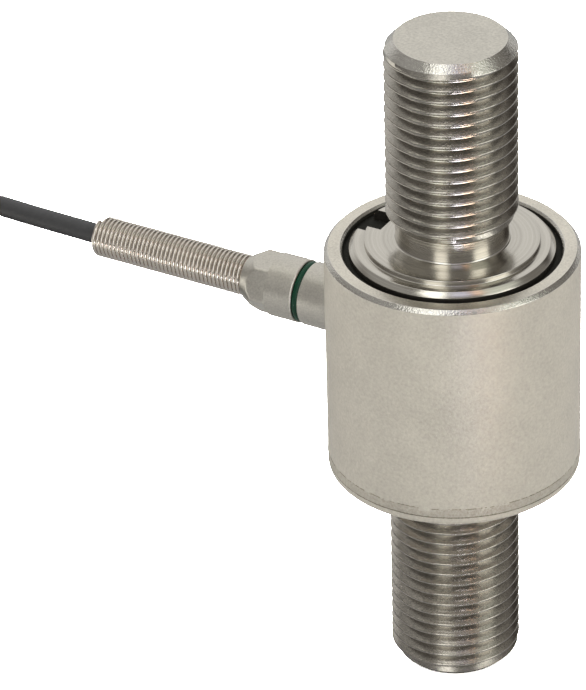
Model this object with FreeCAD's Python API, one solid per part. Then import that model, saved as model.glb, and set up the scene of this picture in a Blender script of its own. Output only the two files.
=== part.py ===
import FreeCAD, Part
import math
import os
from FreeCAD import Vector

# Tension and compression force sensor with two threaded studs.
# Millimetres. The load axis is Z, the origin is the centre of the lower stud's
# end face, and the cable leaves along -X.

# Studs of the measuring body
stud_diameter = 16.0
stud_end_chamfer = 1.25
lower_stud_length = 27.8
upper_stud_reach = 28.2
relief_diameter = 13.7
relief_length = 2.7

# Housing sleeve
housing_diameter = 31.0
housing_height = 30.0
housing_wall = 2.3
rim_outer_chamfer = 0.5
rim_inner_chamfer = 0.3

# Upper flange, which moves freely inside the rim
gap_width = 0.75
flange_thickness = 4.4
flange_rise = 0.6
flange_chamfer = 0.6
disc_diameter = 21.2
disc_height = 0.65
root_cone_diameter = 16.8
root_cone_height = 0.15
slot_width = 5.0
slot_end_distance = 8.45

# Column that carries the strain gauges
column_diameter = 15.0
column_across_flats = 12.0
column_fillet = 1.6
column_fillet_steps = 3
column_flat_margin = 3.0

# Lower flange and its weld to the sleeve
lower_flange_edge = 1.7
lower_edge_chamfer = 0.3
spigot_height = 2.2
spigot_clearance = 0.03
weld_width = 1.4
weld_depth = 0.6
weld_crown = 0.05

# Soft filling of the ring gap
sealant_drop = 0.9
sealant_height = 1.6

# Strain gauges, bridge board and wiring
gauge_length = 7.0
gauge_width = 5.0
gauge_thickness = 0.12
board_thickness = 0.8
board_clearance = 0.3
resistor_length = 3.0
resistor_width = 1.5
resistor_height = 0.6
resistor_cap_length = 0.5
resistor_cap_overlap = 0.05
gauge_lead_width = 0.4
gauge_lead_thickness = 0.1
gauge_lead_spacing = 1.6
gauge_lead_pad_inset = 0.5
gauge_lead_rise = 3.0
gauge_lead_slant = 1.6
core_diameter = 0.6
core_spacing = 0.62
core_bend_radius = 1.2

# Cable gland on the side of the sleeve
cable_exit_rise = 18.0
boss_diameter = 8.0
boss_projection = 4.15
boss_spigot_diameter = 7.0
boss_socket_diameter = 6.0
boss_socket_depth = 3.45
seal_ring_thickness = 0.9
seal_ring_inset = 0.08
seal_ring_bulge = 0.22
nut_diameter = 8.0
nut_length = 7.95
nut_thread_length = 2.4
nut_thread_clearance = 0.05
hex_across_flats = 7.0
hex_length = 4.1
hex_turn = 19.0
nose_diameter = 5.5
nose_angle = 30.0
cable_hole_clearance = 0.2
grommet_length = 1.4
pressure_ring_length = 0.55

# Bend protection spring
spring_diameter = 5.2
spring_wire = 0.6
spring_free_length = 21.8
spring_seat_depth = 2.0
spring_seat_clearance = 0.03

# Cable and its stripped end
cable_diameter = 2.6
cable_length = 2000.0
straight_past_spring = 1.7
bend_share_of_run = 0.45
coil_rings = 5
coil_layers = 4
coil_turn_diameter = 31.2
coil_centre_x = -98.5
tie_width = 4.0
tie_thickness = 0.5
tie_angle = 20.0
tail_length = 16.0
end_sleeve_start = 11.0
end_sleeve_length = 12.0
end_sleeve_wall = 0.3
lead_diameter = 0.75
lead_ring_radius = 0.82
lead_length = 17.0
lead_tip_diameter = 0.45
lead_tip_length = 4.0
lead_fan_start_share = 0.6
lead_fan_early_share = 0.4
lead_fan_step = 1.4
lead_fan_order = (2, 0.2, -2.4, -0.8, 1)

# Levels along the load axis
stud_radius = stud_diameter / 2
relief_radius = relief_diameter / 2
runout_chamfer = stud_radius - relief_radius
housing_radius = housing_diameter / 2
bore_radius = housing_radius - housing_wall
housing_bottom = lower_stud_length
rim_level = housing_bottom + housing_height
top_level = rim_level + upper_stud_reach
sleeve_bottom = housing_bottom + lower_flange_edge
spigot_top = sleeve_bottom + spigot_height
flange_radius = bore_radius - gap_width
flange_top = rim_level + flange_rise
flange_bottom = flange_top - flange_thickness
disc_radius = disc_diameter / 2
disc_top = flange_top + disc_height
cable_level = housing_bottom + cable_exit_rise

# Distances of the gland's faces from the load axis
boss_face = housing_radius + boss_projection
socket_floor = boss_face - boss_socket_depth
nut_shoulder = boss_face + seal_ring_thickness
nut_face = nut_shoulder + nut_length
spring_start = nut_face - spring_seat_depth
spring_end = nut_face + spring_free_length
cable_radius = cable_diameter / 2
cable_hole_radius = cable_radius + cable_hole_clearance

# Coil of the cable that lies beside the sensor
coil_mean_radius = coil_turn_diameter / 2
coil_inner_radius = coil_mean_radius - coil_rings * cable_radius
coil_outer_radius = coil_mean_radius + coil_rings * cable_radius
coil_height = coil_layers * cable_diameter
outer_ring_radius = coil_outer_radius - cable_radius
top_layer_level = coil_height - cable_radius

X_AXIS = Vector(1, 0, 0)
Y_AXIS = Vector(0, 1, 0)
Z_AXIS = Vector(0, 0, 1)


def turned(profile):
    """Solid of revolution about the load axis from (radius, level) corners."""
    points = [Vector(radius, 0, level) for radius, level in profile]
    face = Part.Face(Part.makePolygon(points + points[:1]))
    return face.revolve(Vector(0, 0, 0), Z_AXIS, 360)


def towards_cable(shape):
    """Turn a shape made up the Z axis so that it points along -X at the cable's level."""
    shape = shape.copy()
    shape.rotate(Vector(0, 0, 0), Y_AXIS, -90)
    shape.translate(Vector(0, 0, cable_level))
    return shape


def ring(outer_radius, inner_radius, start, end):
    """Plain ring about Z between two levels."""
    return turned([(inner_radius, start), (outer_radius, start), (outer_radius, end), (inner_radius, end)])


def block(x_size, y_size, z_size, centre):
    """Box placed by its centre."""
    corner = centre - Vector(x_size / 2, y_size / 2, z_size / 2)
    return Part.makeBox(x_size, y_size, z_size, corner)


def corner_arc(before, corner, after):
    """The largest arc that both runs at a corner allow: start, middle, end and radius."""
    incoming = corner - before
    outgoing = after - corner
    setback = bend_share_of_run * min(incoming.Length, outgoing.Length)
    incoming.normalize()
    outgoing.normalize()
    half_turn = incoming.getAngle(outgoing) / 2
    radius = setback / math.tan(half_turn)
    inward = outgoing - incoming
    inward.normalize()
    middle = corner + inward * (radius / math.cos(half_turn) - radius)
    return corner - incoming * setback, middle, corner + outgoing * setback, radius


def rounded_path(points):
    """Wire of straight runs joined by tangent arcs, with the arcs' radii."""
    edges = []
    radii = []
    start = points[0]
    for before, corner, after in zip(points, points[1:], points[2:]):
        arc_start, middle, arc_end, radius = corner_arc(before, corner, after)
        edges.append(Part.LineSegment(start, arc_start).toShape())
        edges.append(Part.Arc(arc_start, middle, arc_end).toShape())
        radii.append(radius)
        start = arc_end
    edges.append(Part.LineSegment(start, points[-1]).toShape())
    return Part.Wire(edges), radii


def rod_along(points, diameter):
    """Round rod that follows a route, with its path and the radii of its bends."""
    path, radii = rounded_path(points)
    section = Part.Wire(Part.Circle(points[0], points[1] - points[0], diameter / 2).toShape())
    return path.makePipeShell([section], True, False), path, radii


def thin_rod(points, diameter):
    """Fine wire with a mitred joint at each corner."""
    path = Part.makePolygon(points)
    section = Part.Wire(Part.Circle(points[0], points[1] - points[0], diameter / 2).toShape())
    return path.makePipeShell([section], True, False, 1)


def make_measuring_body():
    """Both studs, both flanges and the gauge column are turned from one bar."""
    neck_top = disc_top + root_cone_height + relief_length
    body = turned([
        (0, 0),
        (stud_radius - stud_end_chamfer, 0),
        (stud_radius, stud_end_chamfer),
        (stud_radius, housing_bottom - relief_length - runout_chamfer),
        (relief_radius, housing_bottom - relief_length),
        (relief_radius, housing_bottom),
        (housing_radius - lower_edge_chamfer, housing_bottom),
        (housing_radius, housing_bottom + lower_edge_chamfer),
        (housing_radius, sleeve_bottom),
        (bore_radius - spigot_clearance, sleeve_bottom),
        (bore_radius - spigot_clearance, spigot_top),
        *column_fillet_corners(spigot_top, 1),
        *reversed(column_fillet_corners(flange_bottom, -1)),
        (flange_radius, flange_bottom),
        (flange_radius, flange_top - flange_chamfer),
        (flange_radius - flange_chamfer, flange_top),
        (disc_radius, flange_top),
        (disc_radius, disc_top),
        (root_cone_diameter / 2, disc_top),
        (relief_radius, disc_top + root_cone_height),
        (relief_radius, neck_top),
        (stud_radius, neck_top + runout_chamfer),
        (stud_radius, top_level - stud_end_chamfer),
        (stud_radius - stud_end_chamfer, top_level),
        (0, top_level),
    ])
    for turn in range(4):
        body = body.cut(gauge_flat_cutter(90 * turn))
    slot_middle = Vector(-slot_end_distance - flange_radius / 2, 0, flange_top)
    slot_depth = flange_thickness + column_fillet
    body = body.cut(block(flange_radius, slot_width, 2 * slot_depth, slot_middle))
    return body.cut(weld_ring())


def column_fillet_corners(flange_level, upwards):
    """Profile corners of the column's fillet at a flange, on the arc and at both its ends."""
    column_radius = column_diameter / 2
    corners = []
    for step in range(column_fillet_steps + 1):
        angle = math.pi / 2 * step / column_fillet_steps
        radius = column_radius + column_fillet * (1 - math.sin(angle))
        level = flange_level + upwards * column_fillet * (1 - math.cos(angle))
        corners.append((radius, level))
    return corners


def gauge_flat_cutter(turn):
    """Block that mills one flat for a gauge into the column."""
    bottom = spigot_top + column_flat_margin
    top = flange_bottom - column_flat_margin
    middle = Vector((column_across_flats + column_diameter) / 2, 0, (bottom + top) / 2)
    cutter = block(column_diameter, column_diameter, top - bottom, middle)
    cutter.rotate(Vector(0, 0, 0), Z_AXIS, turn)
    return cutter


def weld_ring():
    """Weld bead in the groove between the lower flange and the sleeve, slightly crowned."""
    half = weld_width / 2
    crown_radius = housing_radius + weld_crown
    return turned([
        (housing_radius - weld_depth, sleeve_bottom),
        (housing_radius, sleeve_bottom - half),
        (crown_radius, sleeve_bottom - half / 2),
        (crown_radius, sleeve_bottom + half / 2),
        (housing_radius, sleeve_bottom + half),
    ])


def make_housing_sleeve():
    """Tube that covers the column, with a side hole for the cable boss."""
    sleeve = turned([
        (bore_radius, sleeve_bottom),
        (housing_radius, sleeve_bottom),
        (housing_radius, rim_level - rim_outer_chamfer),
        (housing_radius - rim_outer_chamfer, rim_level),
        (bore_radius + rim_inner_chamfer, rim_level),
        (bore_radius, rim_level - rim_inner_chamfer),
    ])
    side_hole = towards_cable(Part.makeCylinder(boss_spigot_diameter / 2, 2 * housing_radius))
    return sleeve.cut(weld_ring()).cut(side_hole)


def make_gap_sealant():
    """Black filling of the ring gap, which also closes the flange's slot."""
    top = rim_level - sealant_drop
    bottom = top - sealant_height
    filling = ring(bore_radius, flange_radius, bottom, top)
    plug_length = bore_radius - slot_end_distance
    plug_middle = Vector(-slot_end_distance - plug_length / 2, 0, (top + bottom) / 2)
    plug = block(plug_length, slot_width, sealant_height, plug_middle)
    plug = plug.common(Part.makeCylinder(bore_radius, top_level))
    return filling.fuse(plug).removeSplitter()


def make_strain_gauge(turn):
    """Foil gauge on its carrier, bonded to one flat of the column."""
    middle_level = (spigot_top + flange_bottom) / 2
    middle = Vector(column_across_flats / 2 + gauge_thickness / 2, 0, middle_level)
    gauge = block(gauge_thickness, gauge_width, gauge_length, middle)
    gauge.rotate(Vector(0, 0, 0), Z_AXIS, turn)
    return gauge


def board_inner_radius():
    """The board's hole clears the fillet at the foot of the column."""
    return column_diameter / 2 + column_fillet + board_clearance


def board_middle_radius():
    """Radius of the ring on which parts stand on the board."""
    return (board_inner_radius() + bore_radius - board_clearance) / 2


def make_bridge_board():
    """Ring shaped circuit board that lies on the lower flange's spigot."""
    return ring(bore_radius - board_clearance, board_inner_radius(), spigot_top, spigot_top + board_thickness)


def make_resistor(turn):
    """Chip resistor with two metal end caps, soldered flat on the board."""
    level = spigot_top + board_thickness + resistor_height / 2
    middle = Vector(board_middle_radius(), 0, level + resistor_cap_overlap)
    chip = block(resistor_width, resistor_length - resistor_cap_length, resistor_height, middle)
    for side in (-1, 1):
        shift = Vector(0, side * (resistor_length - resistor_cap_length) / 2, 0)
        cap_width = resistor_width + 2 * resistor_cap_overlap
        cap_height = resistor_height + 2 * resistor_cap_overlap
        chip = chip.fuse(block(cap_width, resistor_cap_length, cap_height, middle + shift))
    chip = chip.removeSplitter()
    chip.rotate(Vector(0, 0, 0), Z_AXIS, turn)
    return chip


def make_gauge_leads():
    """Two flat ribbon wires from each gauge down to the board."""
    wires = []
    gauge_face = column_across_flats / 2 + gauge_thickness + gauge_lead_thickness / 2
    middle_level = (spigot_top + flange_bottom) / 2
    board_top = spigot_top + board_thickness
    bend_level = board_top + gauge_lead_rise
    pad_radius = board_inner_radius() + gauge_lead_pad_inset
    for turn in range(4):
        for side in (-1, 1):
            offset = side * gauge_lead_spacing / 2
            path = Part.makePolygon([
                Vector(gauge_face, offset, middle_level),
                Vector(gauge_face, offset, bend_level + gauge_lead_slant),
                Vector(pad_radius, offset, bend_level),
                Vector(pad_radius, offset, board_top),
            ])
            section = ribbon_section(gauge_face, offset, middle_level)
            wire = path.makePipeShell([section], True, False, 1)
            wire.rotate(Vector(0, 0, 0), Z_AXIS, 90 * turn)
            wires.append(wire)
    return Part.makeCompound(wires)


def ribbon_section(x_middle, y_middle, level):
    """Rectangle across a ribbon wire that starts downwards."""
    x_half = gauge_lead_thickness / 2
    y_half = gauge_lead_width / 2
    corners = [(-x_half, -y_half), (x_half, -y_half), (x_half, y_half), (-x_half, y_half)]
    points = [Vector(x_middle + x, y_middle + y, level) for x, y in corners]
    return Part.makePolygon(points + points[:1])


def make_inner_core(place):
    """One insulated core from the cable's stripped end down to the board."""
    offset = place * core_spacing
    down = board_middle_radius()
    return thin_rod([
        Vector(-down - core_bend_radius, offset, cable_level),
        Vector(-down - core_bend_radius / 2, offset, cable_level),
        Vector(-down, offset, cable_level - core_bend_radius / 2),
        Vector(-down, offset, spigot_top + board_thickness),
    ], core_diameter)


def make_cable_boss():
    """Turned boss in the sleeve's side hole, with a socket for the gland nut."""
    collar = towards_cable(Part.makeCylinder(boss_diameter / 2, boss_face))
    collar = collar.cut(Part.makeCylinder(housing_radius, top_level))
    spigot = towards_cable(Part.makeCylinder(boss_spigot_diameter / 2, housing_radius + boss_projection / 2))
    spigot = spigot.cut(Part.makeCylinder(bore_radius, top_level))
    socket = Part.makeCylinder(boss_socket_diameter / 2, boss_socket_depth, Vector(0, 0, socket_floor))
    hole = Part.makeCylinder(cable_hole_radius, boss_face)
    return collar.fuse(spigot).removeSplitter().cut(towards_cable(socket.fuse(hole)))


def make_seal_ring():
    """Soft ring squeezed between the boss and the nut, with a bulged outside."""
    outer = boss_diameter / 2 - seal_ring_inset
    shoulder = outer - seal_ring_bulge
    inner = boss_socket_diameter / 2
    middle = (boss_face + nut_shoulder) / 2
    bulge = seal_ring_thickness / 4
    return towards_cable(turned([
        (shoulder, boss_face),
        (outer, middle - bulge),
        (outer, middle + bulge),
        (shoulder, nut_shoulder),
        (inner, nut_shoulder),
        (inner, boss_face),
    ]))


def make_gland_nut():
    """Round nut with a hexagon on its coned nose, a thread and a seat for the spring."""
    thread_radius = boss_socket_diameter / 2 - nut_thread_clearance
    body = Part.makeCylinder(nut_diameter / 2, nut_length, Vector(0, 0, nut_shoulder))
    thread = Part.makeCylinder(thread_radius, nut_thread_length, Vector(0, 0, nut_shoulder - nut_thread_length))
    body = body.cut(ring(nut_diameter, 0, nut_face - hex_length, nut_face).cut(hexagon_prism()))
    cone_length = nut_length
    cone_base = nose_diameter / 2 + cone_length * math.tan(math.radians(nose_angle))
    cone = Part.makeCone(cone_base, nose_diameter / 2, cone_length, Vector(0, 0, nut_shoulder))
    body = body.common(cone).fuse(thread).removeSplitter()
    seat_radius = spring_diameter / 2 + spring_seat_clearance
    seat = Part.makeCylinder(seat_radius, spring_seat_depth, Vector(0, 0, spring_start))
    hole = Part.makeCylinder(cable_hole_radius, nut_face)
    return towards_cable(body.cut(seat.fuse(hole)))


def hexagon_prism():
    """Hexagon across the wrench flats, turned as the tightened nut came to rest."""
    corner_radius = hex_across_flats / 2 / math.cos(math.pi / 6)
    corners = []
    for step in range(6):
        angle = math.radians(hex_turn + 60 * step)
        corners.append(Vector(corner_radius * math.sin(angle), -corner_radius * math.cos(angle), 0))
    face = Part.Face(Part.makePolygon(corners + corners[:1]))
    face.translate(Vector(0, 0, nut_face - hex_length))
    return face.extrude(Vector(0, 0, hex_length))


def make_cable_grommet():
    """Rubber bush that grips the cable at the bottom of the boss's socket."""
    outer = boss_socket_diameter / 2
    return towards_cable(ring(outer, cable_radius, socket_floor, socket_floor + grommet_length))


def make_pressure_ring():
    """Metal ring between the grommet and the nut's end."""
    start = socket_floor + grommet_length
    outer = boss_socket_diameter / 2 - nut_thread_clearance
    end = min(start + pressure_ring_length, nut_shoulder - nut_thread_length)
    return towards_cable(ring(outer, cable_hole_radius, start, end))


def make_bend_spring():
    """Close wound spring: one ridge for each turn of its wire, around an open bore."""
    length = spring_end - spring_start
    turns = round(length / spring_wire)
    pitch = length / turns
    outer = spring_diameter / 2
    groove = outer - spring_wire / 2
    profile = [(outer - spring_wire, spring_end), (outer - spring_wire, spring_start)]
    for turn in range(turns):
        start = spring_start + turn * pitch
        profile += [(groove, start), (outer, start + pitch / 2)]
    profile.append((groove, spring_end))
    return towards_cable(turned(profile))


def make_cable_inner_end():
    """Clamped stretch of cable from its stripped end to the nut's nose."""
    start = board_middle_radius() + core_bend_radius
    return towards_cable(Part.makeCylinder(cable_radius, nut_face - start, Vector(0, 0, start)))


def cable_route():
    """Corners of the free cable from the nut's nose down to the coil's top layer."""
    straight_end = spring_end + straight_past_spring
    coil_side = coil_centre_x - coil_outer_radius
    return [
        Vector(-nut_face, 0, cable_level),
        Vector(-straight_end, 0, cable_level),
        Vector(-straight_end - 20.5, 1.0, cable_level - 0.2),
        Vector(-straight_end - 36.5, 8.0, cable_level - 2.8),
        Vector(coil_side + 19.2, 17.2, cable_level - 8.7),
        Vector(coil_side + 10.0, 20.6, top_layer_level + 17.9),
        Vector(coil_side + 2.9, 16.4, top_layer_level + 8.5),
        Vector(coil_side - 0.6, 6.3, top_layer_level + 1.9),
        Vector(coil_side + 0.7, -6.0, top_layer_level + 0.3),
    ]


def make_cable(coil):
    """Free cable, straight in the spring and then falling in a loose curve to the coil."""
    points = cable_route()
    tube, path, radii = rod_along(points, cable_diameter)
    expected = math.pi * cable_radius ** 2 * path.Length
    print("cable bends, radii in mm:", [round(radius, 1) for radius in radii])
    print("cable tube length", round(path.Length, 1), "volume share", round(tube.Volume / expected, 5))
    turns = (cable_length - path.Length - tail_length) / (math.pi * coil_turn_diameter)
    print("turns left for the coil", round(turns, 1), "places", coil_rings * coil_layers)
    return tube.cut(coil)


def make_coil_tie():
    """Strap around the bundle of turns."""
    outer = turned([
        (coil_inner_radius - tie_thickness, 0),
        (coil_outer_radius + tie_thickness, 0),
        (coil_outer_radius + tie_thickness, coil_height + tie_thickness),
        (coil_inner_radius - tie_thickness, coil_height + tie_thickness),
    ])
    inner = ring(coil_outer_radius, coil_inner_radius, tie_thickness, coil_height)
    reach = 2 * coil_outer_radius
    slice_block = block(reach, tie_width, reach, Vector(reach / 2, 0, 0))
    strap = outer.cut(inner).common(slice_block)
    strap.rotate(Vector(0, 0, 0), Z_AXIS, tie_angle)
    strap.translate(Vector(coil_centre_x, 0, 0))
    return strap


def make_cable_coil(tie):
    """Outer shape of the wound turns, with softened edges."""
    softened = cable_radius / 2
    coil = turned([
        (coil_inner_radius + softened, 0),
        (coil_outer_radius - softened, 0),
        (coil_outer_radius, softened),
        (coil_outer_radius, coil_height - softened),
        (coil_outer_radius - softened, coil_height),
        (coil_inner_radius + softened, coil_height),
        (coil_inner_radius, coil_height - softened),
        (coil_inner_radius, softened),
    ])
    coil.translate(Vector(coil_centre_x, 0, 0))
    return coil.cut(tie)


def tail_start():
    """The cable leaves the lowest outer turn here and runs on along +X."""
    return Vector(coil_centre_x, -outer_ring_radius, cable_radius + end_sleeve_wall)


def make_cable_tail(coil):
    """Last straight stretch of cable, up to where its jacket ends."""
    return Part.makeCylinder(cable_radius, tail_length, tail_start(), X_AXIS).cut(coil)


def make_end_sleeve(coil):
    """Shrunk sleeve over the end of the jacket."""
    start = tail_start() + X_AXIS * end_sleeve_start
    sleeve = Part.makeCylinder(cable_radius + end_sleeve_wall, end_sleeve_length, start, X_AXIS)
    bore = Part.makeCylinder(cable_radius, end_sleeve_length, start, X_AXIS)
    return sleeve.cut(bore).cut(coil)


def make_lead(place):
    """Insulated lead from the jacket's end, fanned out on the surface, with a bare tip."""
    angle = math.radians(90 - 360 / len(lead_fan_order) * place)
    across = math.sin(angle)
    begin = tail_start() + X_AXIS * tail_length + Vector(0, across, math.cos(angle)) * lead_ring_radius
    straight = end_sleeve_start + end_sleeve_length - tail_length + lead_diameter
    floor = lead_diameter / 2
    spread = lead_fan_step * lead_fan_order[place]
    points = [
        begin,
        begin + X_AXIS * straight,
        Vector(
            begin.x + lead_length * lead_fan_start_share,
            begin.y + spread * lead_fan_early_share,
            (begin.z + floor) / 2,
        ),
        Vector(begin.x + lead_length, begin.y + spread, floor),
    ]
    insulation = thin_rod(points, lead_diameter)
    direction = points[-1] - points[-2]
    tip = Part.makeCylinder(lead_tip_diameter / 2, lead_tip_length, points[-1], direction)
    return insulation.fuse(tip).removeSplitter()


def build():
    """All pieces by name."""
    tie = make_coil_tie()
    coil = make_cable_coil(tie)
    pieces = {
        "measuring_body": make_measuring_body(),
        "housing_sleeve": make_housing_sleeve(),
        "housing_weld": weld_ring(),
        "gap_sealant": make_gap_sealant(),
        "bridge_board": make_bridge_board(),
        "gauge_leads": make_gauge_leads(),
        "cable_boss": make_cable_boss(),
        "seal_ring": make_seal_ring(),
        "gland_nut": make_gland_nut(),
        "cable_grommet": make_cable_grommet(),
        "pressure_ring": make_pressure_ring(),
        "bend_spring": make_bend_spring(),
        "cable_inner_end": make_cable_inner_end(),
        "cable": make_cable(coil),
        "cable_coil": coil,
        "coil_tie": tie,
        "cable_tail": make_cable_tail(coil),
        "cable_end_sleeve": make_end_sleeve(coil),
    }
    for place, name in enumerate(("right", "back", "left", "front")):
        pieces["strain_gauge_" + name] = make_strain_gauge(90 * place)
    for place, name in enumerate(("zero", "span", "temperature")):
        pieces[name + "_resistor"] = make_resistor(45 + 90 * place)
    for place, colour in enumerate(("red", "black", "green", "white")):
        pieces["core_" + colour] = make_inner_core(place - 1.5)
    for place, colour in enumerate(("red", "black", "green", "white", "shield")):
        pieces["lead_" + colour] = make_lead(place)
    return pieces


os.makedirs("parts", exist_ok=True)
for name, shape in build().items():
    print(name, "solids", len(shape.Solids), "valid", shape.isValid(), "mm3", round(shape.Volume, 2))
    shape.exportStep("parts/" + name + ".step")
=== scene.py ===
# %% [markdown]
# # A force sensor with two threaded studs
#
# The sensor sits in line with a rod or a rope: a nut goes on each stud, and the force runs along the
# studs' common axis through a hidden column with strain gauges. A round housing covers that column,
# and a cable leaves through a gland on its side. Almost all of it is stainless steel, so this scene is
# mostly about one question: how can one metal look turned here, blasted there and threaded elsewhere?
#
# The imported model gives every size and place. The scene never moves it. It dresses it, and where a
# plain solid is too simple, a finer mesh stands in for it.

import math

import bmesh
import bpy
from mathutils import Matrix, Vector, noise


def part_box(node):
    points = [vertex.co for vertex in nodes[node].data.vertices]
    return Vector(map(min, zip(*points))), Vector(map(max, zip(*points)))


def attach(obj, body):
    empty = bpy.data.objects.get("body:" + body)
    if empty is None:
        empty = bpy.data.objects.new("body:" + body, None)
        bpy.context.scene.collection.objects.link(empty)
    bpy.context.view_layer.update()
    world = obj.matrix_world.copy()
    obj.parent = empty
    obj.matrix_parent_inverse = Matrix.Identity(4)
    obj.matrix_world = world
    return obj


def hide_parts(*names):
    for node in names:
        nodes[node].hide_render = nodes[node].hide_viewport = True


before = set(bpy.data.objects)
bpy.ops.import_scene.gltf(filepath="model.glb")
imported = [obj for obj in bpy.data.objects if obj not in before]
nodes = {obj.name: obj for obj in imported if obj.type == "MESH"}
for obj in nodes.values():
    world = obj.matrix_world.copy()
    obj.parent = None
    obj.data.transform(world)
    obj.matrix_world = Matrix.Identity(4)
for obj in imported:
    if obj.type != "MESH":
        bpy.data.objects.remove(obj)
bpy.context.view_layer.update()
print("nodes:", len(nodes))

# %% [markdown]
# ## Sizes from the frame
#
# The load axis is Z and the cable leaves along -X. Each size below is read from the box of the solid
# that has it, so a changed model changes the scene too. Sizes that a box can't show, such as a
# chamfer, are named here in metres.

# %% Read the main sizes
MM = 0.001

body_low, body_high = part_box("measuring_body")
sleeve_low, sleeve_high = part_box("housing_sleeve")
weld_low, weld_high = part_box("housing_weld")
boss_low, boss_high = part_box("cable_boss")
seal_low, seal_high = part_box("seal_ring")
nut_low, nut_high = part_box("gland_nut")
spring_low, spring_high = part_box("bend_spring")

housing_radius = sleeve_high.x
rim_level = sleeve_high.z
sleeve_bottom = sleeve_low.z
top_level = body_high.z
cable_level = (spring_low.z + spring_high.z) / 2
spring_radius = (spring_high.z - spring_low.z) / 2
spring_end = -spring_low.x
spring_start = -spring_high.x
nut_face = -nut_low.x
for title, size in (("housing radius", housing_radius), ("rim", rim_level), ("top", top_level)):
    print(title, "in mm:", round(size / MM, 2))

# %% [markdown]
# ## The camera
#
# The photograph was taken with a long lens from about 30 degrees above the horizon, and the stud's
# axis stands well to the right of the picture's middle. The camera is put on the line of sight to a
# point on the axis at the rim's level, and is then turned so that this point lands on its own pixel.
# A turned camera keeps the lens shift at zero.

# %% Show colours as they are written
bpy.context.scene.view_settings.view_transform = "Standard"
print("view transform:", bpy.context.scene.view_settings.view_transform)

# %% Place the camera
PHOTO_WIDTH = 586
PHOTO_HEIGHT = 690

camera_azimuth = math.radians(28.64)
camera_elevation = math.radians(30.12)
camera_roll = math.radians(-0.518)
camera_distance = 598.5 * MM
focal_pixels = 4985.0
aim_pixel = (452.29, 244.33)
aim_point = Vector((0, 0, 58.0 * MM))

line_of_sight = Vector((
    -math.sin(camera_azimuth) * math.cos(camera_elevation),
    math.cos(camera_azimuth) * math.cos(camera_elevation),
    -math.sin(camera_elevation),
))
aim_in_camera = Vector((
    (aim_pixel[0] - PHOTO_WIDTH / 2) / focal_pixels,
    -(aim_pixel[1] - PHOTO_HEIGHT / 2) / focal_pixels,
    -1,
))
straight_ahead = Vector((0, 0, -1))
look = line_of_sight.to_track_quat("-Z", "Y")
roll = Matrix.Rotation(camera_roll, 4, "Z").to_quaternion()
turn = aim_in_camera.rotation_difference(straight_ahead)

camera_data = bpy.data.cameras.new("camera")
camera = bpy.data.objects.new("camera", camera_data)
bpy.context.scene.collection.objects.link(camera)
camera.rotation_mode = "QUATERNION"
camera.rotation_quaternion = look @ roll @ turn
camera.location = aim_point - line_of_sight * camera_distance
camera_data.lens = focal_pixels * camera_data.sensor_width / PHOTO_HEIGHT
camera_data.clip_start = 0.05
camera_data.clip_end = 20
bpy.context.scene.camera = camera
print("lens in mm:", round(camera_data.lens, 1))

# %% [markdown]
# ## The cable
#
# A round four-core cable, 2.6 mm thick, is clamped in the gland and comes out of the bend spring. It runs on
# straight for a short way, then sinks in a loose curve to the floor, where its spare length is wound in a
# tied coil. Its line is one smooth spline. The few points where it hangs free are listed one by one. The
# coil's turns come from a loop, because wound turns are regular: each layer has five rings, and the winding
# goes in and out again from layer to layer, down to the floor.

# %% Lay the cable's route
cable_diameter = 2.6 * MM
cable_radius = cable_diameter / 2
coil_centre = Vector((-98.5 * MM, 0, 0))
coil_rings = 5
coil_layers = 4
coil_turn_radius = 15.6 * MM
points_per_turn = 16

hanging_points = [
    Vector((-28.5, 0.0, 45.8)),
    Vector((-52.0, 0.0, 45.8)),
    Vector((-72.5, 1.0, 45.6)),
    Vector((-88.5, 8.0, 43.0)),
    Vector((-101.4, 17.2, 37.1)),
    Vector((-110.6, 20.6, 27.0)),
    Vector((-117.7, 16.4, 17.6)),
    Vector((-121.2, 6.3, 11.0)),
    Vector((-119.9, -6.0, 9.4)),
]
cable_points = [point * MM for point in hanging_points]

outer_ring = coil_turn_radius + (coil_rings - 1) / 2 * cable_diameter
ring_radii = [outer_ring - ring * cable_diameter for ring in range(coil_rings)]
winding = []
for layer in range(coil_layers):
    level = cable_radius + (coil_layers - 1 - layer) * cable_diameter
    order = ring_radii if layer % 2 == 0 else ring_radii[::-1]
    winding += [(radius, level) for radius in order]

print("turns to wind:", len(winding))

# %% [markdown]
# A control polygon lies outside the curve that it makes, so points on a circle give a slightly smaller
# circle. Each ring's points are therefore moved out by the cosine of half a step. Every turn keeps its
# radius for most of the way round and then steps over to the next ring, as a wound cable does. All the
# turns step over at the same place, so they stay a diameter apart there too.

# %% Wind the coil
last_hanging = cable_points[-1] - coil_centre
start_angle = math.atan2(last_hanging.y, last_hanging.x) % (2 * math.pi)
tail_angle = 1.5 * math.pi
sweep = (len(winding) - 1) * 2 * math.pi + (tail_angle - start_angle) % (2 * math.pi)
step = 2 * math.pi / points_per_turn
outward = 1 / math.cos(step / 2)
step_over = 0.25


def smooth_step(share):
    """0 before the start, 1 after the end and a soft rise between."""
    share = min(max(share, 0), 1)
    return share * share * (3 - 2 * share)


for index in range(1, int(sweep / step) + 1):
    turns = index * step / (2 * math.pi)
    ring = int(turns)
    radius, level = winding[ring]
    next_radius, next_level = winding[min(ring + 1, len(winding) - 1)]
    share = smooth_step((turns - ring - (1 - step_over)) / step_over)
    radius += (next_radius - radius) * share
    level += (next_level - level) * share
    angle = start_angle + index * step
    across = Vector((math.cos(angle), math.sin(angle), 0)) * radius * outward
    cable_points.append(coil_centre + across + Vector((0, 0, level)))

# %% [markdown]
# The winding ends where it runs along +X, and the last short stretch of cable goes straight on from
# there to the stripped end.

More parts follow.
